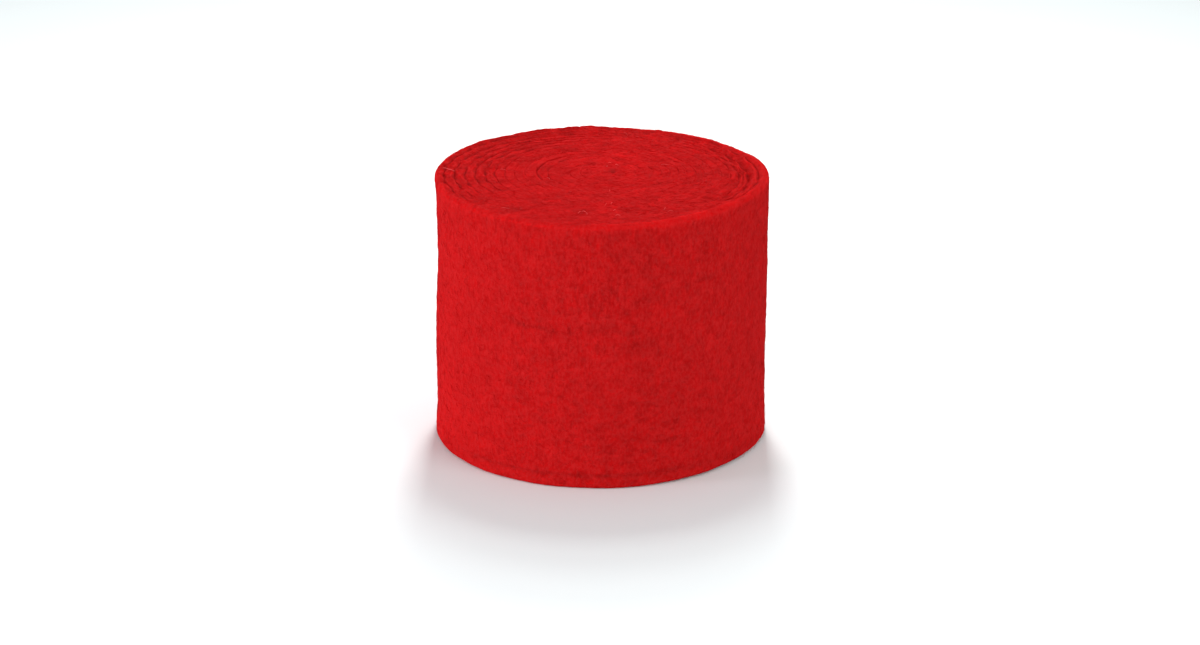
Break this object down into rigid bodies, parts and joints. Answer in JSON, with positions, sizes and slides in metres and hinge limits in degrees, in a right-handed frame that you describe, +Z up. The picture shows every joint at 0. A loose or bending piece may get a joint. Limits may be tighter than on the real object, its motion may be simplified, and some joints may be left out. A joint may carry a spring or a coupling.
{
  "type": "roll of felt",
  "caption": "A long strip of thick red wool felt wound tightly on itself into a round roll that stands on its end, with its tail at the back.",
  "frame": {"origin": "on the floor under the middle of the roll's outline", "axes": "+Z up along the roll's eye, -Y towards the front, the strip's tail at the back near +Y"},
  "size_m": [0.184, 0.1842, 0.1515],
  "materials": {
    "felt": "matt, fibrous wool felt in bright red"
  },
  "bodies": {
    "root": {"felt_strip": "felt"}
  },
  "joints": []
}
